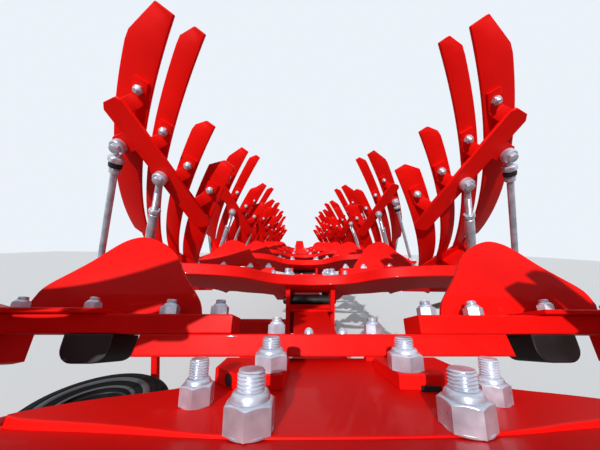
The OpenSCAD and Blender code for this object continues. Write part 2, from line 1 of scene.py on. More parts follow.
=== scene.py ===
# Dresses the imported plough: rounded plates, slats, bolts, stays, tyres, materials, studio and camera
import json
import math
import bpy
import numpy as np
from mathutils import Euler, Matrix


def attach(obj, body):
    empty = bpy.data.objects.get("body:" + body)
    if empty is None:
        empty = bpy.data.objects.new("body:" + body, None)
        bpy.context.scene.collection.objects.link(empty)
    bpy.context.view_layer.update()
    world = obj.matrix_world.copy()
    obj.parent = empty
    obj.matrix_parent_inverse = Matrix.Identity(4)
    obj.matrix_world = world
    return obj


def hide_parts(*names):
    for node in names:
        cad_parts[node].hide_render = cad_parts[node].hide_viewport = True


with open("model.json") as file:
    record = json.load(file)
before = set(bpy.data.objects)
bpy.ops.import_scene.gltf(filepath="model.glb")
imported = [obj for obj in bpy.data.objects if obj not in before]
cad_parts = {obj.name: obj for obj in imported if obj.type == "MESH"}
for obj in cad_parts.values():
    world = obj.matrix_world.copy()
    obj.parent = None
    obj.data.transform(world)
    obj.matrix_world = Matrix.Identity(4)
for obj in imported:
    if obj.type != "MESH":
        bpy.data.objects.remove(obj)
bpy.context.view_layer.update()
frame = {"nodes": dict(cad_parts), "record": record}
nodes = frame["nodes"]
print("frame loaded", len(nodes), "nodes")

# Lengths in metres, angles in degrees, the same as in the part's source
plough = {
    "pairs": 7, "spacing": 1.0, "lean": 22.0, "midX": 0.10286, "rearY": -2.765, "beamZ": 1.15, "legRise": 0.2,
    "legThick": 0.045, "shareX": 0.905, "slatThick": 0.01, "strapWidth": 0.078, "strapThick": 0.012,
}
leanSin = math.sin(math.radians(plough["lean"]))
leanCos = math.cos(math.radians(plough["lean"]))
bodyPlaces = [(i, side) for i in range(plough["pairs"]) for side in (-1, 1)]


# Materials
def newMaterial(name):
    material = bpy.data.materials.new(name)
    material.use_nodes = True
    return material, material.node_tree, material.node_tree.nodes["Principled BSDF"]


def noiseOf(tree, scale, detail=4.0):
    place = tree.nodes.new("ShaderNodeTexCoord")
    noise = tree.nodes.new("ShaderNodeTexNoise")
    noise.inputs["Scale"].default_value = scale
    noise.inputs["Detail"].default_value = detail
    noise.inputs["Roughness"].default_value = 0.55
    tree.links.new(place.outputs["Object"], noise.inputs["Vector"])
    return noise.outputs["Fac"]


def ramped(tree, value, stops):
    # The new ramp's own two elements take the two stops
    ramp = tree.nodes.new("ShaderNodeValToRGB")
    for element, (at, color) in zip(ramp.color_ramp.elements, stops):
        element.position = at
        element.color = (*color, 1.0)
    tree.links.new(value, ramp.inputs["Fac"])
    return ramp.outputs["Color"]


def surfaceOf(name, look):
    # Base colour and roughness each run along a noise between two values; a finer noise lifts the surface
    look = {**plainLook, **look}
    material, tree, shader = newMaterial(name)
    shader.inputs["Metallic"].default_value = look["metal"]
    shader.inputs["Specular IOR Level"].default_value = look["gloss"]
    shader.inputs["Coat Weight"].default_value = look["coat"]
    shader.inputs["Coat Roughness"].default_value = look["coatRough"]
    broad = noiseOf(tree, look["scale"])
    smooth, coarse = ((value,) * 3 for value in look["rough"])
    tree.links.new(ramped(tree, broad, [(0.35, look["dark"]), (0.65, look["light"])]), shader.inputs["Base Color"])
    tree.links.new(ramped(tree, broad, [(0.3, smooth), (0.7, coarse)]), shader.inputs["Roughness"])
    fine = noiseOf(tree, look["grain"], 2.0)
    bump = tree.nodes.new("ShaderNodeBump")
    bump.inputs["Strength"].default_value = look["bump"]
    bump.inputs["Distance"].default_value = look["depth"]
    tree.links.new(fine, bump.inputs["Height"])
    tree.links.new(bump.outputs["Normal"], shader.inputs["Normal"])
    return material


# What a finish leaves out
plainLook = {"metal": 0.0, "gloss": 0.5, "coat": 0.0, "coatRough": 0.1}
looks = {
    "redPaint": {"dark": (0.68, 0.004, 0.003), "light": (0.88, 0.006, 0.003), "coat": 0.07, "coatRough": 0.04,
                 "gloss": 0.08, "rough": (0.42, 0.55), "scale": 3.0, "grain": 60.0, "bump": 0.12, "depth": 0.0005},
    "zincPlate": {"dark": (0.46, 0.5, 0.58), "light": (0.7, 0.74, 0.83), "metal": 0.6, "rough": (0.26, 0.42),
                  "scale": 30.0, "grain": 300.0, "bump": 0.06, "depth": 0.0002},
    "wornSteel": {"dark": (0.22, 0.22, 0.23), "light": (0.42, 0.41, 0.4), "metal": 1.0, "rough": (0.28, 0.5),
                  "scale": 8.0, "grain": 120.0, "bump": 0.2, "depth": 0.0006},
    "blackCap": {"dark": (0.006, 0.005, 0.005), "light": (0.014, 0.012, 0.012), "gloss": 0.3, "rough": (0.4, 0.6),
                 "scale": 10.0, "grain": 200.0, "bump": 0.1, "depth": 0.0004},
    "tyreRubber": {"dark": (0.003, 0.003, 0.004), "light": (0.009, 0.009, 0.009), "gloss": 0.07,
                   "rough": (0.55, 0.8), "scale": 6.0, "grain": 90.0, "bump": 0.3, "depth": 0.001},
    "ribSheenRubber": {"dark": (0.045, 0.045, 0.05), "light": (0.085, 0.085, 0.09), "gloss": 0.3,
                      "rough": (0.4, 0.6), "scale": 9.0, "grain": 90.0, "bump": 0.3, "depth": 0.001},
}
made = {name: surfaceOf(name, look) for name, look in looks.items()}
slotLook = {"paint": made["redPaint"], "zinc": made["zincPlate"], "steel": made["wornSteel"],
            "cap": made["blackCap"], "tyre": made["tyreRubber"]}
for entry in frame["record"]["subparts"]:
    node = nodes[entry["node"]]
    node.data.materials.clear()
    node.data.materials.append(slotLook[entry["material_slot"]])
# The depth wheel's rim is black, and the skimmers' shares still have their first paint
nodes["depth_rim"].data.materials[0] = slotLook["cap"]
nodes["skimmer_shares"].data.materials[0] = slotLook["paint"]
print("materials made")


# Surfaces as whole arrays: a part is its points and its face arrays, each with faces of one size
def gridFaces(rows, columns, closeRows=False, closeColumns=False):
    # Quad (i, j) joins points (i, j), (i, j+1), (i+1, j+1), (i+1, j), counted round where a side is closed
    i = np.arange(rows if closeRows else rows - 1)[:, None]
    j = np.arange(columns if closeColumns else columns - 1)[None, :]
    row, nextRow, right = i * columns, (i + 1) % rows * columns, (j + 1) % columns
    return np.stack([row + j, row + right, nextRow + right, nextRow + j], axis=-1).reshape(-1, 4)


def cappedFaces(rows, columns):
    # Quads between closed rows, then one face over the first row and one over the last
    ends = np.arange(columns)[None, :]
    return [gridFaces(rows, columns, closeColumns=True), ends[:, ::-1], ends + columns * (rows - 1)]


def flipped(faces):
    return [q[:, ::-1] for q in faces]


def joined(parts):
    # Points in one array; each part's faces are raised by the number of points before it
    points, faces, start = [], [], 0
    for p, f in parts:
        points.append(p)
        faces += [q + start for q in f]
        start += len(p)
    return np.concatenate(points), faces


def toWorld(points, i, side):
    # Pair i's frame to the row's: X is mirrored by side, then turned by the lean about X and set on the beam
    x, v, n = plough["midX"] + points[:, 0] * side, points[:, 1], points[:, 2]
    y = i * plough["spacing"] + plough["rearY"] + v * leanCos + n * leanSin
    z = plough["beamZ"] + plough["legRise"] - v * leanSin + n * leanCos
    return np.stack([x, y, z], axis=1)


def onFrame(part):
    # The headstock's and carriage's own frame: its origin is on the ground under the beam, at the rearmost pair
    return part[0] + (plough["midX"], plough["rearY"], 0.0), part[1]


def onPairs(part, places=bodyPlaces):
    # One copy of the part at each place; a mirrored copy's faces run the other way round
    points, faces = part
    return joined([(toWorld(points, i, side), flipped(faces) if side < 0 else faces) for i, side in places])


def onSide(part, side=1):
    # One copy on each pair, on one side; what lies across the middle takes side 1
    return onPairs(part, [(i, side) for i in range(plough["pairs"])])


def addPiece(name, part, slot, body="plough", look=None, smooth=35.0, replaces=None):
    # Edges sharper than smooth degrees stay sharp; the look is the slot's own unless another is given
    points, faces = part
    counts = np.concatenate([np.full(len(q), q.shape[1]) for q in faces])
    corners = np.concatenate([q.ravel() for q in faces])
    mesh = bpy.data.meshes.new(name)
    mesh.vertices.add(len(points))
    mesh.vertices.foreach_set("co", np.asarray(points, np.float32).ravel())
    mesh.loops.add(len(corners))
    mesh.loops.foreach_set("vertex_index", corners.astype(np.int32))
    mesh.polygons.add(len(counts))
    mesh.polygons.foreach_set("loop_start", (np.cumsum(counts) - counts).astype(np.int32))
    mesh.polygons.foreach_set("use_smooth", np.ones(len(counts), bool))
    mesh.update(calc_edges=True)
    mesh.set_sharp_from_angle(angle=math.radians(smooth))
    mesh.materials.append(look or slotLook[slot])
    piece = bpy.data.objects.new(name, mesh)
    bpy.context.scene.collection.objects.link(piece)
    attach(piece, body)
    if replaces:
        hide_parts(replaces)


# Forms
def units(vectors):
    return vectors / np.linalg.norm(vectors, axis=-1, keepdims=True)


def anglesOf(count):
    # Equal steps once round
    return np.arange(count) * 2 * math.pi / count


def aroundZ(r, z, a):
    # Each point is (r cos a, r sin a, z), with r, z and a stretched over one grid
    return np.stack(np.broadcast_arrays(r * np.cos(a), r * np.sin(a), z), axis=-1).reshape(-1, 3)


def rounding(edge, steps):
    # A quarter circle from a plate's side to its face: (inset, rise) = edge * (1 - cos a, sin a), a from 0 to 90
    a = np.linspace(0.0, math.pi / 2, steps + 1)
    return edge * (1 - np.cos(a)), edge * np.sin(a)


def smoothed(points, rounds=3):
    # Each round puts two points on every edge, at a quarter and three quarters of it; the two ends stay
    points = np.asarray(points, float)
    for _ in range(rounds):
        cut = np.stack([0.75 * points[:-1] + 0.25 * points[1:], 0.25 * points[:-1] + 0.75 * points[1:]], axis=1)
        points = np.concatenate([points[:1], cut.reshape(-1, points.shape[1])[1:-1], points[-1:]])
    return points


def bothHalves(half):
    # A half outline from the middle round to the middle, then its mirror image the other way
    half = np.asarray(half, float)
    mirrored = half[::-1] * (-1, 1)
    return np.concatenate([half, mirrored[int(half[-1, 0] == 0):len(half) - int(half[0, 0] == 0)]])


def insetOf(outline, inset):
    # Each corner moves in along its two edges' mean normal, by inset over the cosine of half the turn
    run = units(np.roll(outline, -1, axis=0) - outline)
    normal = np.stack([-run[:, 1], run[:, 0]], axis=1)
    mean = normal + np.roll(normal, 1, axis=0)
    mean /= np.maximum(np.sum(mean * normal, axis=1), 0.35)[:, None]  # the limit holds sharp corners back
    return outline + inset * mean


def roundedPlate(outline, bottom, top, edge, steps=2):
    # Rings of a counterclockwise outline, drawn in by a quarter circle at both faces, with a face over each end; one
    # more ring beside each rounding keeps the rest flat
    outline = np.asarray(outline, float)
    inset, rise = rounding(edge, steps)
    more = min(edge, (top - bottom) * 0.2)
    rings = [(edge + more, bottom)] + [(inset[k], bottom + edge - rise[k]) for k in range(steps, -1, -1)]
    rings += [(0.0, bottom + edge + more * 0.5), (0.0, top - edge - more * 0.5)]
    rings += [(inset[k], top - edge + rise[k]) for k in range(steps + 1)] + [(edge + more, top)]
    points = np.concatenate([np.column_stack([insetOf(outline, i), np.full(len(outline), z)]) for i, z in rings])
    return points, cappedFaces(len(rings), len(outline))


def box(x, y, z, edge=0.0015, steps=1):
    # A block between two values on each axis, with rounded edges
    outline = [(x[0], y[0]), (x[1], y[0]), (x[1], y[1]), (x[0], y[1])]
    return roundedPlate(outline, z[0], z[1], edge, steps)


def turnedForm(profile, segments):
    # Each (r, z) of the profile goes round the Z axis, with a face over an end that doesn't reach it
    r, z = np.asarray(profile, float).T
    sides, first, last = cappedFaces(len(r), segments)
    faces = [sides] + ([first] if r[0] > 0 else []) + ([last] if r[-1] > 0 else [])
    return aroundZ(r[:, None], z[:, None], anglesOf(segments)), faces


def carried(path, side, up, across, out):
    # Row i, point j: path_i + side_i * across_ij + up_i * out_ij, with a face over each end
    points = path[:, None] + side[:, None] * across[..., None] + up[:, None] * out[..., None]
    return points.reshape(-1, 3), cappedFaces(*points.shape[:2])


def roundedBar(halfWidth, halfThick, edge, steps):
    # The outline of a flat bar, counterclockwise, with a quarter circle at each corner
    a = np.linspace(0, math.pi / 2, steps + 1)
    corners = [(1, 1, 0), (-1, 1, 1), (-1, -1, 2), (1, -1, 3)]
    return np.concatenate([np.stack([
        sx * (halfWidth - edge) + edge * np.cos(a + k * math.pi / 2),
        sy * (halfThick - edge) + edge * np.sin(a + k * math.pi / 2)], axis=1) for sx, sy, k in corners])


def moved(part, place, up=(0, 0, 1), across=(1, 0, 0)):
    # The part's Z axis goes along up and its X axis as near to across as it can; its origin goes to place
    z = np.asarray(up, float) / np.linalg.norm(up)
    x = np.asarray(across, float) - np.dot(across, z) * z
    x /= np.linalg.norm(x)
    turn = np.stack([x, np.cross(z, x), z])
    return part[0] @ turn + np.asarray(place, float), part[1]


def outward(part, place, side):
    # The part's Z axis goes out along X, to this side
    return moved(part, place, (side, 0, 0), (0, 1, 0))


def standing(part, front):
    # An outline drawn flat stands up across the way of travel: (x, y, z) to (x, front - z, y)
    x, y, z = part[0].T
    return np.stack([x, front - z, y], axis=1), part[1]


def tube(start, end, radius, segments=20):
    # A straight rod between two points, with its rims cut off at 45 degrees
    start, end = np.asarray(start, float), np.asarray(end, float)
    length = np.linalg.norm(end - start)
    rim = radius * 0.08
    profile = [(radius - rim, 0), (radius, rim), (radius, length - rim), (radius - rim, length)]
    run = (end - start) / length
    across = (1, 0, 0) if abs(run[0]) < 0.9 else (0, 1, 0)
    return moved(turnedForm(profile, segments), start, run, across)


# Bolts; a hexagon's chamfer ends on a circle of this share of its width over flats
chamfer = 0.93


def hexForm(flats, height, segments, both=False):
    # Radius at angle a and height z: the smaller of the hexagon's, (flats / 2) / cos(a - nearest flat), and that of
    # a 30 degree cone on the top, or on the foot too
    slope = math.tan(math.radians(30))
    a = anglesOf(segments)
    flat = (a + math.pi / 6) % (math.pi / 3) - math.pi / 6
    hexagon = flats / 2 / np.cos(flat)
    corner = flats / 2 / math.cos(math.pi / 6)
    drop = (corner - flats / 2 * chamfer) * slope
    z = np.concatenate([np.linspace(0, drop, 5), np.linspace(height - drop, height, 5)])
    top = corner - np.maximum(z - (height - drop), 0) / slope
    foot = corner - (np.maximum(drop - z, 0) / slope if both else 0 * z)
    r = np.minimum(hexagon[None, :], np.minimum(top, foot)[:, None])
    return aroundZ(r, z[:, None], a), cappedFaces(len(z), segments)


def threadForm(radius, bottom, top, pitch, segments, perTurn):
    # Radius: radius minus 0.55 pitch times a triangle wave of (z / pitch - a / full turn); over the last 0.9 pitch
    # the wave sinks to 0.4 of itself and the radius falls by half a pitch, for the chamfered end
    rows = max(4, int((top - bottom) / pitch * perTurn))
    z = np.linspace(bottom, top, rows + 1)[:, None]
    a = anglesOf(segments)[None, :]
    wave = np.abs(((z / pitch - a / (2 * math.pi)) % 1.0) * 2 - 1)
    end = np.clip((top - z) / (0.9 * pitch), 0, 1)
    r = radius - 0.55 * pitch * wave * (0.4 + 0.6 * end) - 0.5 * pitch * (1 - end)
    return aroundZ(r, z, a), cappedFaces(rows + 1, segments)


def domeProfile(radius, height, foot, steps):
    # (radius cos a, foot + height sin a) up to the top in the middle
    a = np.linspace(0, math.pi / 2, steps)[:-1]
    return [(radius * math.cos(t), foot + height * math.sin(t)) for t in a] + [(0.0, foot + height)]


# Leg plates: the rear edge bows back and the round cut leaves the curved leg; the hub's top rises towards the front
legShape = {
    "rear": [(0.0, -0.1), (0.13, -0.118), (0.2, -0.157), (0.26, -0.226), (0.35, -0.265), (0.51, -0.288),
             (0.64, -0.284), (0.76, -0.245), (0.865, -0.15), (0.865, 0.06)],
    "front": [(0.395, 0.046), (0.368, 0.05), (0.32, 0.08), (0.24, 0.108), (0.188, 0.146), (0.18, 0.3), (0.085, 0.3),
              (0.085, 0.07), (0.0, 0.07)],
    "center": (0.6, 0.1), "radius": 0.17, "arc": (351.3, 180.0), "arcSteps": 28, "edge": 0.0035,
    "hub": [(0.0, -0.013), (0.087, -0.012), (0.159, -0.005), (0.252, 0.015), (0.392, 0.032), (0.37, 0.055),
            (0.32, 0.084), (0.24, 0.113), (0.192, 0.15), (0.183, 0.295), (0.0, 0.295)],
    "hubRear": -0.013, "hubRise": 0.002, "hubTilt": 10.0, "hubThick": 0.02, "hubEdge": 0.0016, "hubFoot": -0.001,
}
hubSin, hubCos = math.sin(math.radians(legShape["hubTilt"])), math.cos(math.radians(legShape["hubTilt"]))


def fromHub(part):
    # (x, w, h) on the hub's top to the pair's frame: w and h turn by the hub's tilt about its rear edge
    x, w, h = part[0].T
    v = legShape["hubRear"] + w * hubCos - h * hubSin
    return np.stack([x, v, legShape["hubRise"] + w * hubSin + h * hubCos], axis=1), part[1]


def addLegPlates():
    s = legShape
    arc = np.radians(np.linspace(*s["arc"], s["arcSteps"]))
    cut = np.array(s["center"]) + s["radius"] * np.stack([np.cos(arc), np.sin(arc)], axis=1)
    half = np.concatenate([smoothed(s["rear"][:-1]), s["rear"][-1:], cut, s["front"]])
    leg = roundedPlate(bothHalves(half), -plough["legThick"], 0.0, s["edge"], 3)
    outline = bothHalves(np.concatenate([smoothed(s["hub"][:9], 2), s["hub"][9:]]))
    outline[:, 1] = (outline[:, 1] - s["hubRear"]) / hubCos
    points, faces = roundedPlate(outline, -s["hubThick"], 0.0, s["hubEdge"], 3)
    # The hub's lower half goes flat, just inside the leg plate
    lower = points[:, 2] < -s["hubThick"] / 2
    points[lower, 2] = 0.0
    points = fromHub((points, faces))[0]
    points[lower, 2] = s["hubFoot"]
    addPiece("legPlates", onSide(joined([leg, (points, faces)])), "paint", replaces="leg_pairs")


# Clamp blocks on the hub: a round hole in the slanted wall, a half round one at the left block's foot, a slot at the
# right one's; each is black, painted shade for its dark inside
blockShape = {
    "outline": [(0.076, 0.221), (0.083, 0.121), (0.14, 0.113), (0.188, 0.156), (0.188, 0.221)], "height": 0.022,
    "edge": 0.0016, "gap": 0.0003, "holeAt": 0.45, "holeDeep": 0.006, "hole": 0.009, "footHole": 0.0065,
    "footRise": 0.003, "slot": ((0.112, 0.139), (0.1127, 0.13), (0.0004, 0.0075)),
}


def blockHole(wall, rise, radius):
    # A black disc just off the wall from this corner of the outline to the next, with its rim inside the block:
    # painted shade for a hole's dark inside
    s = blockShape
    start, end = np.array(s["outline"][wall:wall + 2])
    run = units(end - start)
    out = np.array([run[1], -run[0], 0.0])
    place = np.append(start + (end - start) * s["holeAt"], rise) + out * s["gap"]
    return moved(turnedForm([(radius, -s["holeDeep"]), (radius, 0.0)], 28), place, out)


def addClampBlocks():
    s = blockShape
    block = roundedPlate(s["outline"], s["gap"], s["height"], s["edge"], 2)
    wall = blockHole(2, s["height"] / 2, s["hole"])
    foot = {-1: blockHole(1, s["footRise"], s["footHole"]), 1: box(*s["slot"], edge=s["gap"])}
    holeShades = [onSide(fromHub(joined([wall, foot[side]])), side) for side in (-1, 1)]
    addPiece("clampBlocks", onPairs(fromHub(block)), "paint", replaces="clamp_blocks")
    # Black discs and a black box: painted shade for the dark inside of each hole and of the slot
    addPiece("blockHoleShades", joined(holeShades), "cap")


# Crossbars, skimmer arms, flanges and clamps, in the pair's frame
barShape = {
    "v": 0.265, "width": 0.084, "bottom": 0.06, "top": 0.104, "half": 0.396, "slant": 0.009, "edge": 0.003,
    "padX": (-0.13, 0.13), "padHalf": 0.05, "padV": (0.005, 0.025), "padN": (0.045, 0.061),
    "domeX": (-0.036, 0.04), "domeV": 0.045, "dome": (0.011, 0.013, 0.003),
}
armShape = {
    "x": (0.201, 0.736), "top": 0.144, "edge": 0.003, "flangeX": (0.47, 0.71), "flangeUp": 0.01, "flangeOver": 0.02,
    "clampX": (0.437, 0.535), "clampDown": 0.056, "clampTop": -0.0005, "clampOver": 0.004, "clampRound": 0.03,
    "fineEdge": 0.002,
}


def addCrossbars():
    s = barShape
    rear, foot, top = s["v"], s["half"], s["half"] - s["slant"]
    outline = [(-foot, s["bottom"]), (foot, s["bottom"]), (top, s["top"]), (-top, s["top"])]
    bar = standing(roundedPlate(outline, 0.0, s["width"], s["edge"], 3), rear + s["width"])
    padV = (rear + s["padV"][0], rear + s["padV"][1])
    pads = [box((x - s["padHalf"], x + s["padHalf"]), padV, s["padN"]) for x in s["padX"]]
    addPiece("crossbars", onSide(joined([bar] + pads)), "paint", replaces="crossbars")
    # Two dome-headed bolts near the bar's middle
    dome = turnedForm([(s["dome"][0], 0.0)] + domeProfile(*s["dome"], 7), 28)
    domes = [moved(dome, (x, rear + s["domeV"], s["top"])) for x in s["domeX"]]
    addPiece("barBolts", onSide(joined(domes)), "zinc")


def addSkimmerArms():
    s, bar = armShape, barShape
    rear, front = bar["v"], bar["v"] + bar["width"]
    arm = box(s["x"], (rear, front), (bar["top"], s["top"]), s["edge"], 3)
    flange = box(s["flangeX"], (rear - s["flangeOver"], front + s["flangeOver"]),
                 (s["top"], s["top"] + s["flangeUp"]), s["fineEdge"])
    # The clamp's outline has round lower corners, and it is carried along the way of travel
    x0, x1 = s["clampX"]
    lower, upper, r = bar["top"] - s["clampDown"], bar["top"] + s["clampTop"], s["clampRound"]
    a = np.linspace(0, math.pi / 2, 7)
    outline = np.concatenate([np.stack([x0 + r - r * np.cos(a), lower + r - r * np.sin(a)], axis=1),
                              np.stack([x1 - r + r * np.sin(a), lower + r - r * np.cos(a)], axis=1),
                              [(x1, upper), (x0, upper)]])
    clamp = roundedPlate(outline, 0.0, bar["width"] + 2 * s["clampOver"], s["fineEdge"])
    addPiece("skimmerArms", onPairs(arm), "paint", replaces="skimmer_arms")
    addPiece("skimmerFlanges", onPairs(flange), "paint", replaces="skimmer_flanges")
    # The clamps are black: painted shade, for clamps that lie in shade under the arms
    addPiece("skimmerClamps", onPairs(standing(clamp, front + s["clampOver"])), "cap")


# Skimmer boards: a sheet on an upright barrel of this bend, between a foot line and a top line over the same X
# values; beyond flangeX the foot line lies on the flange, else on the arm
boardShape = {
    "bend": 0.42, "v": 0.355, "back": 0.01, "waist": 0.06, "foot": 0.144, "thick": 0.009, "flangeX": 0.466,
    "lift": (0.0006, 0.0105), "least": 0.001, "columns": 50, "rows": 13,
    "top": [(0.295, 0.0), (0.3, 0.035), (0.325, 0.07), (0.358, 0.112), (0.378, 0.152), (0.4, 0.175),
            (0.428, 0.196), (0.465, 0.214), (0.498, 0.222), (0.53, 0.212), (0.555, 0.19), (0.59, 0.145),
            (0.64, 0.105), (0.69, 0.07), (0.705, 0.035)],
}


def rimOf(grid):
    # The grid's outer points, once round
    return np.concatenate([grid[0], grid[1:, -1], grid[-1, -2::-1], grid[-2:0:-1, 0]])


def addSkimmerBoards():
    # Point (u, w): x along the top line at u, height the share w from the foot line up to it, and v the middle less
    # the root of radius^2 - (height - waist)^2; the two faces' radii are the bend more or less half the thickness
    s = boardShape
    top = smoothed(s["top"])
    at = np.linspace(0, len(top) - 1, s["columns"])
    x, rise = (np.interp(at, np.arange(len(top)), top[:, k]) for k in (0, 1))
    lift = np.where(x > s["flangeX"], s["lift"][1], s["lift"][0])
    height = lift + (np.maximum(rise, lift + s["least"]) - lift) * np.linspace(0, 1, s["rows"])[:, None]
    sheets = []
    for radius in (s["bend"] + s["thick"] / 2, s["bend"] - s["thick"] / 2):
        v = s["v"] + s["bend"] - s["back"] - np.sqrt(radius ** 2 - (height - s["waist"]) ** 2)
        sheets.append(np.stack([x + 0 * height, v, s["foot"] + height], axis=-1))
    near, far = sheets
    quads = gridFaces(s["rows"], s["columns"])
    # The edge's two inner rows lie a quarter of the way in from the faces
    rim, farRim = rimOf(near), rimOf(far)
    edge = np.concatenate([(1 - t) * rim + t * farRim for t in (0, 0.25, 0.75, 1)])
    edgeFaces = flipped([gridFaces(4, len(rim), closeColumns=True)])
    board = joined([(near.reshape(-1, 3), [quads]), (far.reshape(-1, 3), flipped([quads])), (edge, edgeFaces)])
    addPiece("skimmerBoards", onPairs(board), "paint", replaces="skimmer_boards")


# Slats and shins; each slat: three points of its quadratic run, its width, and where its corner cut starts
slatShape = {
    "runs": [((0.84, -0.03, 0.232), (0.7, -0.52, 0.262), (0.43, -0.846, 0.519), 0.1, 0.895),
             ((0.77, -0.012, 0.193), (0.6, -0.5, 0.24), (0.342, -0.806, 0.494), 0.06, 0.955),
             ((0.688, 0.008, 0.15), (0.56, -0.38, 0.18), (0.362, -0.6, 0.383), 0.062, 0.95),
             ((0.607, 0.028, 0.11), (0.5, -0.28, 0.14), (0.332, -0.47, 0.333), 0.086, 0.93)],
    "acrossFrom": (0.75, -0.45, 0.55), "acrossTo": (0.97, -0.1, 0.2), "rows": 36, "rowsFrom": 0.02, "rowsTo": 0.985,
    "cutAway": 0.97, "edge": 0.0028,
    "shin": [(0.86, 0.33, 0.02), (0.84, -0.04, 0.24), (0.575, 0.03, 0.0), (0.52, 0.17, -0.01)], "shinEdge": 0.0025,
}


def slatReach(k):
    # The straight length from the run's start to its end
    return np.linalg.norm(np.subtract(slatShape["runs"][k][2], slatShape["runs"][k][0]))


def slatPlace(k, s):
    # (1-s)^2 a + 2s(1-s) b + s^2 c, its heading, the way across it square to the heading, and their cross product
    a, b, c = (np.array(p) for p in slatShape["runs"][k][:3])
    s = np.atleast_1d(np.asarray(s, float))[:, None]
    place = (1 - s) ** 2 * a + 2 * s * (1 - s) * b + s ** 2 * c
    heading = units((1 - s) * (b - a) + s * (c - b))
    over = (1 - s) * np.array(slatShape["acrossFrom"]) + s * np.array(slatShape["acrossTo"])
    over = units(over - np.sum(over * heading, axis=1, keepdims=True) * heading)
    return place, heading, over, np.cross(heading, over)


def slatForm(k):
    # A rounded bar's outline carried along the run, drawn in by a quarter circle at both ends; past the cut the
    # outer half of its width shrinks in a straight line
    shape = slatShape
    width, cut = shape["runs"][k][3:]
    edge, rows = shape["edge"], shape["rows"]
    outline = roundedBar(width / 2, plough["slatThick"] / 2, edge, 3)
    inset, rise = rounding(edge, 3)
    start = (edge - rise[::-1]) / slatReach(k)
    middle = np.linspace(start[-1] + shape["rowsFrom"], shape["rowsTo"], rows)
    s = np.concatenate([start, middle, 1 - start[::-1]])
    drawn = np.concatenate([inset[::-1], np.zeros(rows), inset])[:, None]
    keep = np.where(s <= cut, 1.0, 1 - shape["cutAway"] * (s - cut) / (1 - cut))[:, None]
    w, n = outline[None, :, 0], outline[None, :, 1]
    w = np.where(w > 0, w * keep, w) - np.sign(w) * drawn
    place, _, over, face = slatPlace(k, s)
    points, faces = carried(place, over, face, w, n - np.sign(n) * drawn)
    return points, flipped(faces)


def shinCorners():
    # The third corner is lifted or lowered on to the plane of the other three
    a, d, c, b = (np.array(p) for p in slatShape["shin"])
    normal = np.cross(b - a, d - a)
    c[2] = a[2] - (normal[0] * (c[0] - a[0]) + normal[1] * (c[1] - a[1])) / normal[2]
    return np.array([a, d, c, b]), units(normal)


def shinForm():
    # A flat plate under the four corners, drawn in their plane's own frame
    corners = shinCorners()[0][::-1]
    x = units(corners[1] - corners[0])
    z = units(np.cross(x, corners[2] - corners[1]))
    y = np.cross(z, x)
    flat = (corners - corners[0]) @ np.stack([x, y], axis=1)
    points, faces = roundedPlate(flat, -plough["slatThick"], 0.0, slatShape["shinEdge"], 3)
    return points @ np.stack([x, y, z]) + corners[0], faces


def addMoldboards():
    board = joined([slatForm(k) for k in range(len(slatShape["runs"]))] + [shinForm()])
    for name, side in (("Left", -1), ("Right", 1)):
        addPiece("moldboards" + name, onSide(board, side), "paint", smooth=50.0,
                 replaces="moldboards_" + name.lower())


# Straps and their tabs; a tab's pair of values is its place along its slat and across it
strapShape = {
    "from": 0.67, "to": 0.6, "back": 0.028, "over": (0.062, 0.045), "clip": 0.016, "edge": 0.0015,
    "ear": (0.055, -0.075), "earHalf": (0.03, 0.014), "earOver": (0.006, 0.028),
    "tabs": [(0.775, -0.018), (0.68, -0.009), (0.77, -0.006), (0.8, -0.002)], "tabWidth": 0.042, "tabThick": 0.007,
    "tabGap": 0.0006, "tabReach": 0.03, "tabRoot": (0.006, 0.001), "tabBends": (0.55, 0.35), "footGap": 0.0003,
}
firstPlace, _, _, firstFace = slatPlace(0, strapShape["from"])
lastPlace, _, _, lastFace = slatPlace(3, strapShape["to"])
strapLength = float(np.linalg.norm(lastPlace - firstPlace))
strapStart = firstPlace[0]
strapRun = units(lastPlace - firstPlace)[0]
strapFace = (firstFace + lastFace)[0]
strapFace = units(strapFace - np.dot(strapFace, strapRun) * strapRun)
strapFrame = np.stack([strapRun, np.cross(strapFace, strapRun), strapFace])


def onStrap(along, across, out):
    # The strap's start, plus each length along its own run, width and face
    return strapStart + np.array([along, across, out]) @ strapFrame


def slatBack(k, s, off, out):
    # A point behind the slat: off across it from its middle, out from its back
    place, _, over, face = slatPlace(k, s)
    return (place + over * off - face * (plough["slatThick"] / 2 + out))[0]


def tabForm(k):
    # A flat bar's outline carried along a rounded bend, from the strap's edge on to the slat's back
    shape, thick = strapShape, strapShape["tabThick"]
    s, off = shape["tabs"][k]
    reach = shape["tabReach"] / slatReach(k)
    fold, tip = (slatBack(k, s + r, off, shape["tabGap"] + thick / 2) for r in (-reach, reach))
    along = np.dot(slatBack(k, s - reach, off, shape["footGap"]) - strapStart, strapRun)
    root = onStrap(along, plough["strapWidth"] / 2 - shape["tabRoot"][0],
                   plough["strapThick"] / 2 - shape["back"] - shape["tabRoot"][1] - thick / 2)
    before, after = shape["tabBends"]
    path = smoothed([root, root + before * (fold - root), fold, fold + after * (tip - fold), tip])
    # The bar's width turns from the strap's run to the way across the slat
    t = np.linspace(0, 1, len(path))[:, None]
    side = (1 - t) * -strapRun + t * slatPlace(k, s)[2]
    run = units(np.gradient(path, axis=0))
    side = units(side - np.sum(side * run, axis=1, keepdims=True) * run)
    bar = roundedBar(shape["tabWidth"] / 2, thick / 2, shape["edge"], 2)
    return carried(path, side, np.cross(side, run), bar[None, :, 0], bar[None, :, 1])


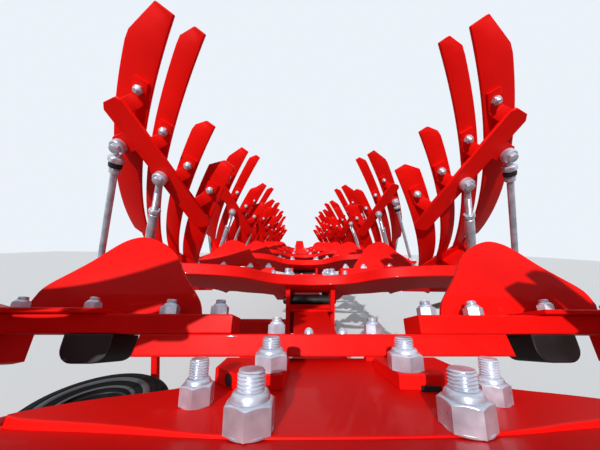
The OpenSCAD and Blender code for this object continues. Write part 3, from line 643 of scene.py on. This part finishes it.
def addStraps():
    s = strapShape
    x0, x1, h, c = -s["over"][0], strapLength + s["over"][1], plough["strapWidth"] / 2, s["clip"]
    (ex, ey), (wide, narrow), (rise, tip) = s["ear"], s["earHalf"], s["earOver"]
    outline = [(x0 + c, -h), (ex - wide, -h), (ex - wide, ey - rise), (ex - narrow, ey - tip),
               (ex + narrow, ey - tip), (ex + wide, ey - rise), (ex + wide, -h), (x1 - c, -h), (x1, c - h),
               (x1, h - c), (x1 - c, h), (x0 + c, h), (x0, h - c), (x0, c - h)]
    half = plough["strapThick"] / 2
    points, faces = roundedPlate(outline, -s["back"] - half, -s["back"] + half, s["edge"], 2)
    plate = (points @ strapFrame + strapStart, faces)
    addPiece("strapPlates", onPairs(joined([plate] + [tabForm(k) for k in range(len(s["tabs"]))])), "paint",
             smooth=50.0, replaces="straps")


# Stays, from an eye on the strap to a foot on the frog or the leg; tube gives its ends as shares of the rod's length
stayShape = {
    "outer": {"eye": (0.055, -0.075), "foot": (0.858, -0.212, -0.0447), "tube": None},
    "inner": {"eye": (0.19, -0.016), "foot": (0.69, -0.2, 0.0003), "tube": (0.38, 0.9)},
    "rod": 0.011, "tubeRadius": 0.017, "eyeRadius": 0.024, "eyeThick": 0.024, "eyeHole": 0.011, "rim": 0.003,
    "footSize": 0.046, "footHigh": 0.03, "kneeRise": 0.022, "gap": 0.0003,
    "tubeNut": (0.036, 0.018), "nutBefore": 0.022, "nutAfter": 0.002,
    "thread": (0.0122, 0.0, 0.07, 0.004), "threadBefore": 0.09,
    "rodNut": (0.04, 0.02), "rodNutAt": 0.034, "collarAt": 0.056, "ringAt": 0.078,
    "collar": [(0.0115, 0), (0.0195, 0.001), (0.0205, 0.006), (0.0195, 0.015), (0.0115, 0.017)],
    "ring": [(0.0125, 0), (0.0165, 0), (0.0165, 0.013), (0.0125, 0.013)],
    "boltHead": (0.03, 0.013),
    "boltEnd": [(0.0155, -0.001), (0.0155, 0.003), (0.0095, 0.003), (0.0095, 0.008), (0, 0.009)],
}


def stayForm(which):
    # Returns the gray parts and the dark ones; the rod runs from the eye's middle to a point above its foot
    s, stay = stayShape, stayShape[which]
    lift = -strapShape["back"] - plough["strapThick"] / 2 - s["gap"]
    middle = onStrap(*stay["eye"], lift - s["eyeThick"] / 2)
    foot = np.array(stay["foot"])
    knee = foot + (0, 0, s["kneeRise"])
    length = np.linalg.norm(knee - middle)
    run = (knee - middle) / length

    def onRod(form, share, off):
        return moved(form, middle + run * length * share + run * off, run)

    e, t, rim, hole = s["eyeRadius"], s["eyeThick"], s["rim"], s["eyeHole"]
    eye = turnedForm([(hole, -t), (e - rim, -t), (e, rim - t), (e, -rim), (e - rim, 0), (hole, 0)], 28)
    f = s["footSize"] / 2
    block = box((foot[0] - f, foot[0] + f), (foot[1] - f, foot[1] + f), (foot[2], foot[2] + s["footHigh"]), rim, 2)
    gray = [moved(eye, onStrap(*stay["eye"], lift), strapFace), tube(middle, knee, s["rod"]), block]
    dark = []
    if stay["tube"]:
        start, end = stay["tube"]
        nut = hexForm(*s["tubeNut"], 24, both=True)
        gray += [tube(middle + run * length * start, middle + run * length * end, s["tubeRadius"], 24),
                 onRod(nut, start, -s["nutBefore"]), onRod(nut, end, s["nutAfter"]),
                 onRod(threadForm(*s["thread"], 16, 4), start, -s["threadBefore"])]
    else:
        gray += [onRod(hexForm(*s["rodNut"], 24, both=True), 0, s["rodNutAt"]),
                 onRod(turnedForm(s["ring"], 24), 0, s["ringAt"])]
        dark = [onRod(turnedForm(s["collar"], 24), 0, s["collarAt"])]
    # The bolt through the eye and the strap has its head on the eye's back
    gray += [moved(hexForm(*s["boltHead"], 24), onStrap(*stay["eye"], lift - t), -strapFace),
             moved(turnedForm(s["boltEnd"], 20),
                   onStrap(*stay["eye"], -strapShape["back"] + plough["strapThick"] / 2), strapFace)]
    return gray, dark


def addStays():
    collars = []
    for which in ("outer", "inner"):
        gray, dark = stayForm(which)
        collars += dark
        addPiece(which + "Stays", onPairs(joined(gray)), "zinc", smooth=40.0, replaces=which + "_stays")
    addPiece("stayCollars", onPairs(joined(collars)), "cap", smooth=50.0)


# Nuts: width over flats, the hexagon's and the collar's height, the bolt's radius and end, the thread's pitch, and
# the segments round the nut, round the thread and in each of its turns
boltKinds = {
    "pivot": (0.046, 0.0285, 0.037, 0.0148, 0.056, 0.0036, 48, 28, 6),
    "block": (0.046, 0.024, 0.031, 0.0142, 0.046, 0.0034, 48, 28, 6),
    "side": (0.036, 0.024, 0.03, 0.0118, 0.052, 0.003, 48, 28, 6),
    "arm": (0.036, 0.022, 0.027, 0.0118, 0.036, 0.003, 24, 16, 4),
    "tab": (0.024, 0.011, 0.013, 0.0079, 0.021, 0.0025, 24, 16, 4),
    "flange": (0.03, 0.016, 0.02, 0.0098, 0.027, 0.0025, 24, 16, 4),
}
# Whether the places are on the hub's top or in the pair's frame, the turn of the nuts' corners, and the places
boltPlaces = {
    "pivot": (True, 2.0, [(0.11, 0.015, 0.0)]),
    "block": (True, -6.0, [(0.1025, 0.144, 0.022)]),
    "side": (True, -4.0, [(0.186, 0.079, 0.0)]),
    "arm": (False, 0.0, [(0.108, 0.298, 0.104), (0.241, 0.307, 0.144), (0.354, 0.307, 0.144)]),
    "flange": (False, 15.0, [(0.513, 0.285, 0.154), (0.667, 0.285, 0.154)]),
}


def nutForm(kind):
    # A round foot, a chamfered hexagon, a collar that curves in by a quarter circle, and the bolt's threaded end
    flats, hexHigh, collar, bolt, end, pitch, segments, threadSegments, perTurn = boltKinds[kind]
    r = flats / 2
    foot = turnedForm([(bolt, 0), (r * 1.02, 0), (r * 1.04, 0.001), (r * 1.04, 0.002), (bolt, 0.002)], segments)
    hexagon = moved(hexForm(flats, hexHigh - 0.001, segments), (0, 0, 0.001))
    wide, rise = r * 0.86, collar - hexHigh
    dome = [(r * chamfer, hexHigh - 0.001)]
    dome += [(wide - (wide - bolt) * (1 - math.cos(t)), hexHigh + rise * math.sin(t))
             for t in np.linspace(0, math.pi / 2, 6)]
    thread = threadForm(bolt, hexHigh, end, pitch, threadSegments, perTurn)
    return joined([foot, hexagon, turnedForm(dome, segments), thread])


def addNuts():
    for kind, (onHub, turn, places) in boltPlaces.items():
        form, across = nutForm(kind), (math.cos(math.radians(turn)), math.sin(math.radians(turn)), 0)
        group = joined([moved(form, place, across=across) for place in places])
        addPiece(kind + "Nuts", onPairs(fromHub(group) if onHub else group), "zinc")
    form, out = nutForm("tab"), strapShape["tabGap"] + strapShape["tabThick"]
    group = joined([moved(form, slatBack(k, s, off, out), -slatPlace(k, s)[3][0])
                    for k, (s, off) in enumerate(strapShape["tabs"])])
    addPiece("tabNuts", onPairs(group), "zinc")


# Bracket pins: a flanged head at each end, a nut's hexagon on it, and two smooth heads above the beam
pinShape = {
    "rows": (0.0, 0.24), "low": -0.092, "half": 0.137, "head": 0.024, "nut": (0.036, 0.016), "nutOut": 0.004,
    "thread": (0.011, 0.015, 0.028, 0.0028), "high": 0.1, "highRow": 0.02, "cheek": 0.115, "knob": (0.019, 0.016),
    "bar": 0.027, "tieX": (-0.094, 0.094),
    "ties": [((-0.052, -0.03), (0.0753, 0.092)), ((-0.1, -0.075), (0.0753, 0.085))],
}


def onBrackets(part):
    # One copy on each pair's bracket: its origin is the beam's middle under the pair's frame
    points, faces = onFrame(part)
    return joined([(points + (0, i * plough["spacing"], plough["beamZ"]), faces) for i in range(plough["pairs"])])


def addBracketPins():
    s = pinShape
    r = s["head"]
    washer = turnedForm([(r * 0.9, -0.0005), (r, 0.001), (r, 0.0035), (r * 0.92, 0.0045), (0.002, 0.0045)], 32)
    nut = joined([hexForm(*s["nut"], 24), threadForm(*s["thread"], 16, 4)])
    # The knob's radius sinks to 0.55 of itself by a cosine while its height grows from a half by a sine
    r, h = s["knob"]
    a = np.linspace(0, math.pi / 2, 7)[1:]
    knob = [(r, -0.004), (r, h * 0.5)]
    knob += [(r * (0.55 + 0.45 * math.cos(t)), h * (0.5 + 0.5 * math.sin(t))) for t in a] + [(0.002, h)]
    knob = turnedForm(knob, 32)
    heads, nuts = [], []
    cheeks = {side: (side * s["cheek"], s["highRow"], s["high"]) for side in (-1, 1)}
    for side, cheek in cheeks.items():
        for y in s["rows"]:
            at = np.array([side * s["half"], y, s["low"]])
            heads.append(outward(washer, at, side))
            nuts.append(outward(nut, at + (side * s["nutOut"], 0, 0), side))
        heads.append(outward(knob, cheek, side))
    # A black bar across between the cheeks: painted shade, a dark fill for the shaded space between them
    heads.append(tube(cheeks[-1], cheeks[1], s["bar"], 28))
    ties = [box(s["tieX"], y, z) for y, z in s["ties"]]
    addPiece("pinHeads", onBrackets(joined(heads)), "cap", smooth=40.0)
    addPiece("bracketTies", onBrackets(joined(ties)), "paint")
    addPiece("pinNuts", onBrackets(joined(nuts)), "zinc")


addLegPlates()
addClampBlocks()
addCrossbars()
addSkimmerArms()
addSkimmerBoards()
print("legs, blocks, arms and boards made")
addMoldboards()
addStraps()
addStays()
addNuts()
addBracketPins()
print("slats, straps, stays and nuts made")


# Wheels: deep is the grooves' depth, around the points round the tread, each rib (radius, height, half width), and
# out the side with the hub's cap
carriageWheel = {
    "axis": (1, 0, 0), "radius": 0.44, "width": 0.32, "inner": 0.24, "lugs": 34, "deep": 0.011, "around": 272,
    "ribs": [(0.37, 0.1595, 0.009)], "lip": 0.008, "lipIn": 0.03, "face": 0.01, "flats": 0.027, "cap": 0.062,
    "axle": 0.09, "rimSlot": "paint",
}
wheelShape = {
    "left": {**carriageWheel, "place": (plough["midX"] - 0.44, -4.615, 0.44), "out": -1},
    "right": {**carriageWheel, "place": (plough["midX"] + 0.44, -4.615, 0.44), "out": 1},
    "depth": {
        "axis": (0, 0, 1), "radius": 0.27, "width": 0.17, "inner": 0.12, "lugs": 0, "deep": 0.007, "around": 160,
        "ribs": [(0.18, 0.0842, 0.013), (0.134, 0.0768, 0.008)], "lip": 0.0056, "lipIn": 0.025, "face": 0.007,
        "flats": 0.019, "cap": 0.045, "axle": 0.042, "rimSlot": "cap",
        "place": (plough["midX"] - 0.845, -2.015, 0.825), "out": 1,
    },
}
# On every wheel: bead and shoulder are places from the tyre's inner and outer radius, discRings (share of the inner
# radius, half width), and cap (share of its radius, height)
wheelDetail = {
    "bead": [(0.0, 0.025), (0.015, 0.008), (0.05, 0.001)],
    "shoulder": [(-0.045, 0.0), (-0.01, 0.018), (-0.001, 0.05)],
    "contour": 84, "soft": 0.004, "lugSlant": 1.4, "lugGap": (0.13, 0.09), "treadDown": 0.012, "treadSoft": 0.006,
    "ridges": (0.038, 0.06), "ridgeHigh": 0.003, "ridgeWide": 0.0035, "ridgeTop": 0.02, "lipDown": 0.004,
    "discRings": [(0.82, 0.005), (0.62, 0.004)], "nuts": 8, "nutCircle": 0.48, "nutHigh": 0.018,
    "stud": [(0.008, 0.017), (0.008, 0.026), (0.006, 0.028)],
    "cap": [(1.0, 0.0), (1.0, 0.006), (0.93, 0.012), (0.6, 0.018), (0.2, 0.02)],
}


def stepOf(distance, half, soft):
    # 1 within half of the middle, 0 beyond it, with a slope of this softness between
    return np.clip((half - np.abs(distance)) / soft + 0.5, 0, 1)


def tyreForm(t):
    # Point (i, j): contour point j at angle i; the radius less the deeper of the grooves round it and across it, the
    # height more by a bell curve for each ridge on the side
    r, w, d = t["radius"], t["width"], wheelDetail
    side = [(start + q, z - w / 2) for start, part in ((t["inner"], "bead"), (r, "shoulder")) for q, z in d[part]]
    contour = smoothed(side + [(q, -z) for q, z in side[::-1]])
    reach = np.concatenate([[0], np.cumsum(np.linalg.norm(np.diff(contour, axis=0), axis=1))])
    at = np.linspace(0, reach[-1], d["contour"])
    radius, z = (np.interp(at, reach, contour[:, k]) for k in (0, 1))
    a = anglesOf(t["around"])[:, None]
    # Three grooves round the tread, and slanted ones between the lugs
    groove = np.maximum(stepOf(z, w / 32, d["soft"]), stepOf(np.abs(z) - w / 5, w / 32, d["soft"])) + 0 * a
    if t["lugs"]:
        phase = (a * t["lugs"] / (2 * math.pi) + np.abs(z) / w * d["lugSlant"] + 0.5 * (z > 0)) % 1.0
        groove = np.maximum(groove, stepOf(np.minimum(phase, 1 - phase), *d["lugGap"]))
    bells = sum(np.exp(-((radius - (r - q)) / d["ridgeWide"]) ** 2) for q in d["ridges"])
    height = z + np.sign(z) * d["ridgeHigh"] * bells * (radius < r - d["ridgeTop"])
    tread = np.clip((radius - (r - d["treadDown"])) / d["treadSoft"], 0, 1)
    radius = radius - t["deep"] * (tread * groove)
    faces = gridFaces(t["around"], d["contour"], closeRows=True, closeColumns=True)  # closed by the beads' inner side
    return aroundZ(radius, height, a), flipped([faces])


def ringOf(radius, z, thick, flat=1.0):
    # A ring of round or flattened section: (radius + thick cos b, z + flat thick sin b) carried round
    a, b = anglesOf(72), anglesOf(12)[:, None]
    points = aroundZ(radius + thick * np.cos(b), z + flat * thick * np.sin(b), a)
    return points, flipped([gridFaces(len(b), len(a), closeRows=True, closeColumns=True)])


def addWheel(name, t):
    d, out, face = wheelDetail, t["out"], t["out"] * t["face"]

    def wheelPiece(ending, parts, slot, **rest):
        addPiece(name + ending, moved(joined(parts), t["place"], t["axis"], (0, 1, 0)), slot, name + "_wheel", **rest)

    wheelPiece("Tyre", [tyreForm(t)], "tyre", smooth=40.0, replaces=name + "_tyre")
    # Lips over the barrel's edges and raised rings on the disc
    lipZ = t["width"] / 2 - t["lipIn"]
    rings = [ringOf(t["inner"] - d["lipDown"], z, t["lip"]) for z in (-lipZ, lipZ)]
    rings += [ringOf(t["inner"] * share, face, half) for share, half in d["discRings"]]
    wheelPiece("RimRings", rings, t["rimSlot"], smooth=50.0)
    # Ribs on the tyre's sides, in a lighter rubber: a painted highlight for light along the ribs
    ribs = [ringOf(radius, side * z, half, flat=0.3) for radius, z, half in t["ribs"] for side in (-1, 1)]
    wheelPiece("TyreRibs", ribs, "tyre", look=made["ribSheenRubber"], smooth=50.0)
    nut = joined([hexForm(t["flats"], d["nutHigh"], 24), turnedForm(d["stud"], 16)])
    circle = t["inner"] * d["nutCircle"]
    nuts = [moved(nut, (circle * math.cos(a), circle * math.sin(a), face), (0, 0, out)) for a in anglesOf(d["nuts"])]
    wheelPiece("WheelNuts", nuts, "zinc")
    cap = turnedForm([(t["cap"] * share, z) for share, z in d["cap"]] + [(0.001, d["cap"][-1][1])], 40)
    wheelPiece("HubCap", [moved(cap, (0, 0, out * t["axle"]), (0, 0, out))], "cap", smooth=50.0)


for wheelName, wheel in wheelShape.items():
    addWheel(wheelName, wheel)
print("wheels made")


# Trim bolts on the bodies, on the bearing's front and round the rack tube's ends, and heads on the carriage's pins,
# each with (y, z, out, size)
trimShape = {
    "shareEdge": ((plough["shareX"], 0.4, -0.02), (plough["shareX"], 0.05, 0.335)), "shareRise": 0.85,
    "shareOut": 0.55, "shareBolts": (0.14, 0.5, 0.86), "shinBolts": ((0.25, 0.2), (0.25, 0.75), (0.72, 0.45)),
    "flush": (0.0115, 0.0018), "landsideX": 0.8325, "landsideY": (-0.19, -0.03, 0.08), "landsideN": -0.0613,
    "washer": 0.0125, "bolt": (0.019, 0.01), "bearingX": 0.122, "bearingY": 7.4, "bearingZ": (-0.068, 0.078),
    "rack": (0.36, 6.8222, 0.168), "rackCircle": 0.046, "rackBolts": 8,
    "pins": [(-1.43, 0.89, 0.118, 0.046), (-1.29, 1.25, 0.114, 0.032)],
}


def between(start, end, share):
    return (1 - share) * start + share * end


def addBodyBolts():
    s = trimShape
    (a, d, c, b), normal = shinCorners()
    lower, upper = (np.array(p) for p in s["shareEdge"])
    # A low dome, with its foot a little under the surface
    r, h = s["flush"]
    head = turnedForm([(r, -0.003)] + domeProfile(r, h, 0.0, 5), 16)
    top = between(a, d, s["shareRise"])
    steel = [moved(head, between(between(a, top, v), between(lower, upper, v), s["shareOut"]), normal)
             for v in s["shareBolts"]]
    paint = [moved(head, between(between(a, b, u), between(d, c, u), v), normal) for u, v in s["shinBolts"]]
    paint += [moved(head, (s["landsideX"], y, s["landsideN"]), (0, 0, -1)) for y in s["landsideY"]]
    addPiece("shareBolts", onPairs(joined(steel)), "steel")
    addPiece("shinBolts", onPairs(joined(paint)), "paint")


def addHeadBolts():
    s = trimShape
    washer = turnedForm([(s["washer"], -0.0005), (s["washer"], 0.002), (0.002, 0.002)], 24)
    bolt = joined([washer, moved(hexForm(*s["bolt"], 24), (0, 0, 0.002))])
    spots = [moved(bolt, (x, s["bearingY"], plough["beamZ"] + z), (0, 1, 0))
             for x in (-s["bearingX"], s["bearingX"]) for z in s["bearingZ"]]
    addPiece("bearingBolts", onFrame(joined(spots)), "zinc", "headstock")
    (x, y, z), r = s["rack"], s["rackCircle"]
    z += plough["beamZ"]
    spots = [outward(bolt, (side * x, y + r * math.cos(a), z + r * math.sin(a)), side)
             for side in (-1, 1) for a in anglesOf(s["rackBolts"])]
    addPiece("rackBolts", onFrame(joined(spots)), "zinc", "headstock")
    # A washer and a hexagon on each pin's end
    spots = []
    for y, z, out, size in s["pins"]:
        washer = [(size * 0.95, -0.004), (size, -0.002), (size, 0.004), (size * 0.9, 0.006), (0.002, 0.006)]
        head = joined([turnedForm(washer, 32), moved(hexForm(size * 1.1, 0.014, 24), (0, 0, 0.006))])
        spots += [outward(head, (side * out, y, z), side) for side in (-1, 1)]
    addPiece("carriagePins", onFrame(joined(spots)), "zinc", "carriage")


addBodyBolts()
addHeadBolts()
print("trim bolts made")


# Studio: floor and sky each have a colour that the camera sees and one that lights the plough
studio = {"floorSize": 60.0, "floorSeen": (0.8, 0.8, 0.78), "floorBounce": (0.22, 0.2, 0.19), "floorRough": 0.8,
          "skySeen": (0.84, 0.89, 0.95), "skyLight": (0.28, 0.31, 0.36)}


def seenOrCast(tree, seen, cast, mirrored):
    # The first colour for the camera, and in reflections too if mirrored; the second where it lights the plough
    path = tree.nodes.new("ShaderNodeLightPath")
    either = tree.nodes.new("ShaderNodeMath")
    either.operation = "MAXIMUM"
    tree.links.new(path.outputs["Is Camera Ray"], either.inputs[0])
    tree.links.new(path.outputs["Is Glossy Ray" if mirrored else "Is Camera Ray"], either.inputs[1])
    mix = tree.nodes.new("ShaderNodeMix")
    mix.data_type = "RGBA"
    mix.inputs[6].default_value = (*cast, 1.0)
    mix.inputs[7].default_value = (*seen, 1.0)
    tree.links.new(either.outputs[0], mix.inputs[0])
    return mix.outputs[2]


def addStudio():
    mesh = bpy.data.meshes.new("floor")
    half = studio["floorSize"] / 2
    mesh.from_pydata([(-half, -half, 0), (half, -half, 0), (half, half, 0), (-half, half, 0)], [], [(0, 1, 2, 3)])
    floor = bpy.data.objects.new("floor", mesh)
    bpy.context.scene.collection.objects.link(floor)
    material, tree, shader = newMaterial("paleFloor")
    color = seenOrCast(tree, studio["floorSeen"], studio["floorBounce"], False)
    tree.links.new(color, shader.inputs["Base Color"])
    shader.inputs["Roughness"].default_value = studio["floorRough"]
    mesh.materials.append(material)
    world = bpy.data.worlds.new("studio")
    bpy.context.scene.world = world
    world.use_nodes = True
    tree = world.node_tree
    color = seenOrCast(tree, studio["skySeen"], studio["skyLight"], True)
    tree.links.new(color, tree.nodes["Background"].inputs["Color"])


# A low, hard sun from behind on the left
sun = {"place": (-2.4, -9.4, 6.4), "aim": (0.0, 0.0, 1.2), "power": 3.4, "spread": 0.012}


def addSun():
    data = bpy.data.lights.new("sun", "SUN")
    data.energy = sun["power"]
    data.angle = sun["spread"]
    lamp = bpy.data.objects.new("sun", data)
    lamp.location = sun["place"]
    x, y, z = np.subtract(sun["aim"], sun["place"])
    lamp.rotation_euler = Euler((math.atan2(math.hypot(x, y), -z), 0.0, math.atan2(-x, y)))
    bpy.context.scene.collection.objects.link(lamp)


# The camera looks along the beam; its shift puts the beam's vanishing point where the photo has it
view = {"place": (0.03786, -3.015, 1.54), "lens": 15.3, "sensor": 36.0, "shift": (-0.008, 0.02833),
        "turn": (0.0, -0.7, -1.7), "near": 0.02}


def addCamera():
    data = bpy.data.cameras.new("camera")
    data.sensor_width = view["sensor"]
    data.lens = view["lens"]
    data.shift_x, data.shift_y = view["shift"]
    data.clip_start = view["near"]
    camera = bpy.data.objects.new("camera", data)
    camera.location = view["place"]
    up, roll, side = view["turn"]
    camera.rotation_euler = Euler((math.radians(90 + up), math.radians(roll), math.radians(side)))
    bpy.context.scene.collection.objects.link(camera)
    bpy.context.scene.camera = camera


addStudio()
addSun()
addCamera()
bpy.context.scene.view_settings.view_transform = "Standard"
print("studio, sun and camera made")
